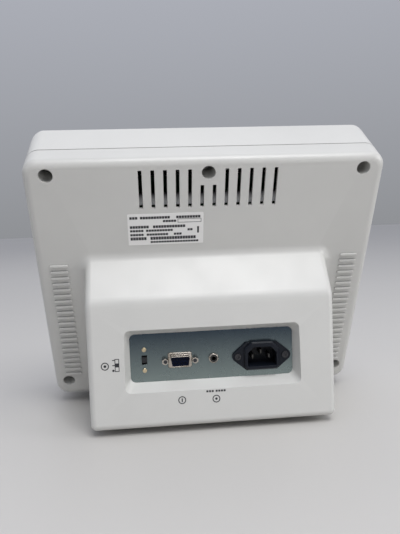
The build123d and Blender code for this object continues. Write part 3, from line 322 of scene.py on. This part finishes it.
# ---------------------------------------------------------------- printed marks
class Layer:
    """A thin layer of printed or pressed shapes lying on a plane; sizes in millimetres."""

    def __init__(self, origin, right, up, thick=0.06):
        self.mesh = bmesh.new()
        self.origin = Vector(origin)
        self.right = Vector(right)
        self.up = Vector(up)
        self.out = self.right.cross(self.up)
        self.thick = thick

    def corner(self, u, v, height):
        place = self.right * u + self.up * v + self.out * height
        return self.mesh.verts.new(self.origin + place * MM)

    def walls(self, low, high):
        """Join two rows of vertices with a closed strip of faces."""
        for first in range(len(low)):
            second = (first + 1) % len(low)
            self.mesh.faces.new((low[first], low[second], high[second], high[first]))

    def band(self, outer, inner):
        """A closed band between two loops with the same number of points."""
        levels = ((outer, 0.0), (outer, self.thick), (inner, self.thick), (inner, 0.0))
        rows = [[self.corner(u, v, height) for u, v in loop] for loop, height in levels]
        for low, high in zip(rows, rows[1:]):
            self.walls(low, high)

    def patch(self, loop):
        """A filled shape with a thin edge."""
        low = [self.corner(u, v, 0.0) for u, v in loop]
        high = [self.corner(u, v, self.thick) for u, v in loop]
        self.mesh.faces.new(high)
        self.walls(low, high)

    def bar(self, u, v, width, height, tilt=0.0):
        loop = []
        for du, dv in ((-1, -1), (1, -1), (1, 1), (-1, 1)):
            x = du * width / 2
            y = dv * height / 2
            loop.append((u + x * cos(tilt) - y * sin(tilt), v + x * sin(tilt) + y * cos(tilt)))
        self.patch(loop)

    def round_loop(self, u, v, radius, steps=36):
        turns = [2 * pi * step / steps for step in range(steps)]
        return [(u + radius * cos(turn), v + radius * sin(turn)) for turn in turns]

    def ring(self, u, v, radius, line):
        self.band(self.round_loop(u, v, radius), self.round_loop(u, v, radius - line))

    def disc(self, u, v, radius):
        self.patch(self.round_loop(u, v, radius))

    def box_line(self, u, v, width, height, line):
        loops = []
        for cut in (0.0, line):
            a = width / 2 - cut
            b = height / 2 - cut
            loops.append([(u - a, v - b), (u + a, v - b), (u + a, v + b), (u - a, v + b)])
        self.band(*loops)

    def arc(self, u, v, radius, line, start, end, steps=28):
        """An open band along part of a circle, as one filled shape."""
        turns = [start + (end - start) * step / steps for step in range(steps + 1)]
        outer = [(u + radius * cos(turn), v + radius * sin(turn)) for turn in turns]
        inside = radius - line
        inner = [(u + inside * cos(turn), v + inside * sin(turn)) for turn in reversed(turns)]
        self.patch(outer + inner)

    def finish(self, name, material, body="case"):
        bmesh.ops.recalc_face_normals(self.mesh, faces=self.mesh.faces)
        data = bpy.data.meshes.new(name)
        self.mesh.to_mesh(data)
        self.mesh.free()
        data.materials.append(material)
        piece = bpy.data.objects.new(name, data)
        bpy.context.scene.collection.objects.link(piece)
        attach(piece, body)


def centre(node):
    """Return the centre of a node's box."""
    low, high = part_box(node)
    return (Vector(low) + Vector(high)) / 2


# The dark print colour, also used as painted shade in the jack screws' mouths.
ink_and_painted_shade = moulded("dark_ink_and_shade_finish", (0.018, 0.019, 0.023), 0.5, 0.0004, 0.05, 0.08, 0.0)
grey_ink = moulded("grey_ink_finish", (0.10, 0.105, 0.115), 0.5, 0.0004, 0.05, 0.08, 0.0)
pale_ink = moulded("pale_ink_finish", (0.62, 0.64, 0.66), 0.5, 0.0004, 0.05, 0.05, 0.0)
# Near-black metal: painted shade for the socket's contact mouths.
painted_contact_shade = metal("contact_mouth_shade_finish", (0.018, 0.018, 0.022), 0.4)
SKIN = 0.01 * MM             # how far off a surface, or into it, a print starts
LABEL_SKIN = 0.11 * MM       # middle of the label to just above its face
RING_RADIUS = 3.2            # rings printed on the housing, in millimetres
RING_LINE = 0.75


def print_label():
    """Rows of plain blocks where a rating label has its lines of print.

    Each row has its height and thickness, then the start and length of its groups. Heights and starts
    are measured from the label's middle."""
    rows = [
        (10.4, 2.2, [(-29.1, 5.7), (-20.7, 25.0), (8.4, 19.4)]),
        (7.1, 1.9, [(-2.4, 10.8)]),
        (2.3, 2.3, [(-29.1, 16.2), (-10.5, 26.7)]),
        (-1.1, 1.9, [(-29.1, 10.8), (-16.3, 22.6), (17.5, 3.7)]),
        (-4.7, 1.9, [(-29.1, 10.8), (-15.8, 18.6), (6.3, 6.2)]),
        (-8.2, 2.7, [(-29.1, 14.0), (-12.9, 38.4)]),
        (-11.6, 1.7, [(-12.9, 40.3)]),
    ]
    cell = 2.2
    gap = 0.3
    layer = Layer(centre("rating_label") + OUT_BACK * LABEL_SKIN, -ACROSS, UP_BACK, 0.05)
    for height, thick, words in rows:
        for start, length in words:
            for step in range(round(length / cell)):
                layer.bar(start + (step + 0.5) * cell, height, cell - gap, thick)
    layer.box_line(19.3, 7.1, 19.2, 3.4, 0.35)
    layer.disc(26.3, 0.6, 0.9)
    layer.bar(26.3, -2.3, 1.5, 4.2)
    layer.finish("label_print", ink_and_painted_shade)


FACE_TILT = radians(2.5)     # draft of the housing's rear face
FACE_OUT = Vector((0, cos(FACE_TILT), sin(FACE_TILT)))
FACE_UP = Vector((0, -sin(FACE_TILT), cos(FACE_TILT)))
RECESS_DEPTH = 13.0          # panel to the foot of the rear face
BELOW_ROW = 30.7 * MM        # marks under the serial socket and jack, down from the row of sockets
BESIDE_SWITCH = 31.4 * MM    # mark beside the slide switch


def on_housing(across, height):
    """Return the point of the housing's rear face at this place, given in metres."""
    panel_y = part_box("rear_panel")[1][1]
    foot_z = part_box("rubber_feet")[1][2]
    y = panel_y + RECESS_DEPTH * MM - (height - foot_z) * tan(FACE_TILT)
    return Vector((across, y, height)) + FACE_OUT * SKIN


def print_housing():
    """Small generic marks on the rear face, one by each socket."""
    row = centre("inlet_body").z
    below = row - BELOW_ROW
    switch = centre("slide_switch_slider").x
    serial = centre("serial_shell").x
    jack = centre("jack_nut").x
    marks = Layer(on_housing(switch + BESIDE_SWITCH, row + 0.6 * MM), -ACROSS, FACE_UP)
    marks.ring(0.0, 0.0, RING_RADIUS, RING_LINE)
    marks.disc(0.0, 0.0, 1.1)
    marks.box_line(9.6, 0.4, 3.6, 10.4, 0.55)
    marks.bar(9.6, 0.4, 2.5, 3.2)
    marks.bar(6.9, 4.6, 1.9, 0.7)
    marks.bar(6.9, 0.4, 1.9, 0.7)
    marks.disc(6.6, -3.8, 0.95)
    marks.finish("switch_marks", ink_and_painted_shade)
    marks = Layer(on_housing(serial, below), -ACROSS, FACE_UP)
    marks.ring(0.0, 0.0, RING_RADIUS, RING_LINE)
    marks.bar(0.0, 0.0, 0.9, 3.0)
    marks.finish("serial_mark", ink_and_painted_shade)
    marks = Layer(on_housing(jack, below), -ACROSS, FACE_UP)
    marks.ring(0.0, -0.6, RING_RADIUS, RING_LINE)
    marks.disc(0.0, -0.6, 1.0)
    for place in (-7.2, -5.0, -2.8, 0.4, 2.6, 4.8, 7.0):
        marks.bar(place, 5.9, 1.6, 1.6)
    marks.finish("jack_mark", ink_and_painted_shade)


def contact_rings():
    """Painted shade: nine dark rings for the contact mouths in the serial socket's insert, which lie in
    shade.
    """
    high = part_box("serial_insert")[1]
    place = centre("serial_insert")
    place.y = high[1] - SKIN
    pitch = 2.77
    row = 1.42
    mouth = 0.78
    line = 0.26
    layer = Layer(place, -ACROSS, (0, 0, 1), 0.08)
    for step in range(5):
        layer.ring((step - 2) * pitch, row, mouth, line)
    for step in range(4):
        layer.ring((step - 1.5) * pitch, -row, mouth, line)
    layer.finish("serial_contact_shade", painted_contact_shade)


def jackscrew_mouths():
    """Painted shade: a dark disc for the threaded mouth in the end of each jack screw."""
    low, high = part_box("serial_jackscrews")
    radius = (high[2] - low[2]) / 2
    mouth = 1.6
    for side, across in (("left", low[0] + radius), ("right", high[0] - radius)):
        end = Vector((across, high[1] + SKIN, (low[2] + high[2]) / 2))
        layer = Layer(end, -ACROSS, (0, 0, 1), 0.05)
        # A disc of the dark print colour, as painted shade.
        layer.disc(0.0, 0.0, mouth)
        layer.finish("jackscrew_mouth_shade_" + side, ink_and_painted_shade)


def print_keys():
    """Legends on the five function keys and the power symbol on the power button."""
    legends = {
        1: lambda layer: layer.ring(0, 0, 2.2, 0.5),
        2: lambda layer: layer.box_line(0, 0, 4.6, 3.4, 0.5),
        3: lambda layer: layer.bar(0, 0, 4.6, 0.7),
        4: lambda layer: (layer.bar(0, 0, 4.6, 0.7), layer.bar(0, 0, 0.7, 4.6)),
        5: lambda layer: (
            layer.bar(-0.9, 0.9, 3.0, 0.6, radians(45)), layer.bar(-0.9, -0.9, 3.0, 0.6, radians(-45))
        ),
    }
    for number, draw in legends.items():
        name = "function_key_" + str(number)
        layer = Layer(cap_face(name), ACROSS, UP_BACK)
        draw(layer)
        layer.finish(name + "_legend", pale_ink, name)
    layer = Layer(cap_face("power_button"), ACROSS, UP_BACK)
    layer.arc(0, 0, 2.6, 0.55, radians(120), radians(420))
    layer.bar(0, 1.7, 0.6, 2.8)
    layer.finish("power_symbol", pale_ink, "power_button")


def cap_face(name):
    """Return the middle of a cap's front face."""
    mesh = nodes[name].data
    depth = min(vertex.co.dot(OUT_BACK) for vertex in mesh.vertices)
    place = centre(name)
    along = [vertex.co.dot(UP_BACK) for vertex in mesh.vertices]
    middle = (min(along) + max(along)) / 2
    return Vector((place.x, 0, 0)) + UP_BACK * middle + OUT_BACK * (depth - SKIN)


def print_front():
    """Small marks above the two probe sockets on the front cover, and a line between them."""
    cover = nodes["front_cover"].data
    depth = min(vertex.co.dot(OUT_BACK) for vertex in cover.vertices)
    sockets = centre("probe_sockets")
    spread = 17.0
    above = 13.6
    up = Vector((0, sockets.y, sockets.z)).dot(UP_BACK) + above * MM
    place = Vector((sockets.x, 0, 0)) + UP_BACK * up + OUT_BACK * depth
    layer = Layer(place, ACROSS, UP_BACK)
    layer.disc(-spread, 0, 0.9)
    layer.ring(-spread, 0, 1.9, 0.45)
    layer.ring(spread, 0, 1.9, 0.45)
    layer.bar(0, -above, 0.5, 16.0)
    layer.finish("socket_marks", grey_ink)


print_label()
print_housing()
contact_rings()
jackscrew_mouths()
print_keys()
print_front()


# ---------------------------------------------------------------- floor and light
def matte(name, colour, roughness):
    """A plain dull surface with a faint cloudiness."""
    n = Nodes(name)
    tint = n.spread(n.noise(0.4, 3.0), 0.0, 1.0)
    n.link(n.blend(tint, tuple(c * 0.985 for c in colour), colour), n.shader.inputs["Base Color"])
    n.set(Roughness=roughness)
    return n.material


FLOOR_SIDE = 4.0             # from the middle to each edge
FLOOR_COLOUR = (0.56, 0.545, 0.52)


def make_floor():
    """A plain pale table top that reaches well past the unit on every side."""
    data = bpy.data.meshes.new("floor")
    corners = [
        (-FLOOR_SIDE, -FLOOR_SIDE, 0),
        (FLOOR_SIDE, -FLOOR_SIDE, 0),
        (FLOOR_SIDE, FLOOR_SIDE, 0),
        (-FLOOR_SIDE, FLOOR_SIDE, 0),
    ]
    data.from_pydata(corners, [], [(0, 1, 2, 3)])
    floor = bpy.data.objects.new("floor", data)
    bpy.context.scene.collection.objects.link(floor)
    data.materials.append(matte("floor_finish", FLOOR_COLOUR, 0.5))


UNIT_MIDDLE = (0, 0, 0.1)    # where the lights aim


def soft_light(name, place, size, power):
    """A square area light aimed at the middle of the unit."""
    data = bpy.data.lights.new(name, "AREA")
    data.shape = "SQUARE"
    data.size = size
    data.energy = power
    light = bpy.data.objects.new(name, data)
    bpy.context.scene.collection.objects.link(light)
    aim = Vector(UNIT_MIDDLE) - Vector(place)
    light.matrix_world = Matrix.Translation(place) @ aim.to_track_quat("-Z", "Y").to_matrix().to_4x4()


WORLD_LOW = (0.34, 0.35, 0.37)
WORLD_LEVEL = (0.36, 0.37, 0.39)
WORLD_TOP = (0.74, 0.77, 0.88)
WORLD_STRENGTH = 0.75


def set_world():
    """A plain pale surround, a little brighter and bluer overhead."""
    world = bpy.data.worlds.new("surround")
    world.use_nodes = True
    tree = world.node_tree
    background = tree.nodes["Background"]
    coordinates = tree.nodes.new("ShaderNodeTexCoord")
    split = tree.nodes.new("ShaderNodeSeparateXYZ")
    ramp = tree.nodes.new("ShaderNodeValToRGB")
    half = tree.nodes.new("ShaderNodeMath")
    half.operation = "MULTIPLY_ADD"
    half.inputs[1].default_value = 0.5
    half.inputs[2].default_value = 0.5
    ramp.color_ramp.elements[0].position = 0.40
    ramp.color_ramp.elements[0].color = (*WORLD_LOW, 1)
    ramp.color_ramp.elements[1].position = 0.47
    ramp.color_ramp.elements[1].color = (*WORLD_LEVEL, 1)
    top = ramp.color_ramp.elements.new(0.9)
    top.color = (*WORLD_TOP, 1)
    tree.links.new(coordinates.outputs["Generated"], split.inputs[0])
    tree.links.new(split.outputs["Z"], half.inputs[0])
    tree.links.new(half.outputs[0], ramp.inputs["Fac"])
    tree.links.new(ramp.outputs["Color"], background.inputs["Color"])
    background.inputs["Strength"].default_value = WORLD_STRENGTH
    bpy.context.scene.world = world


make_floor()
set_world()
soft_light("ceiling_light", (-0.25, 1.05, 1.68), size=1.0, power=23.0)
soft_light("side_key", (-1.4, 0.6, 0.6), size=0.6, power=6.0)
soft_light("front_fill", (0.3, -1.2, 1.4), size=1.5, power=3.0)
bpy.context.scene.view_settings.view_transform = "Standard"
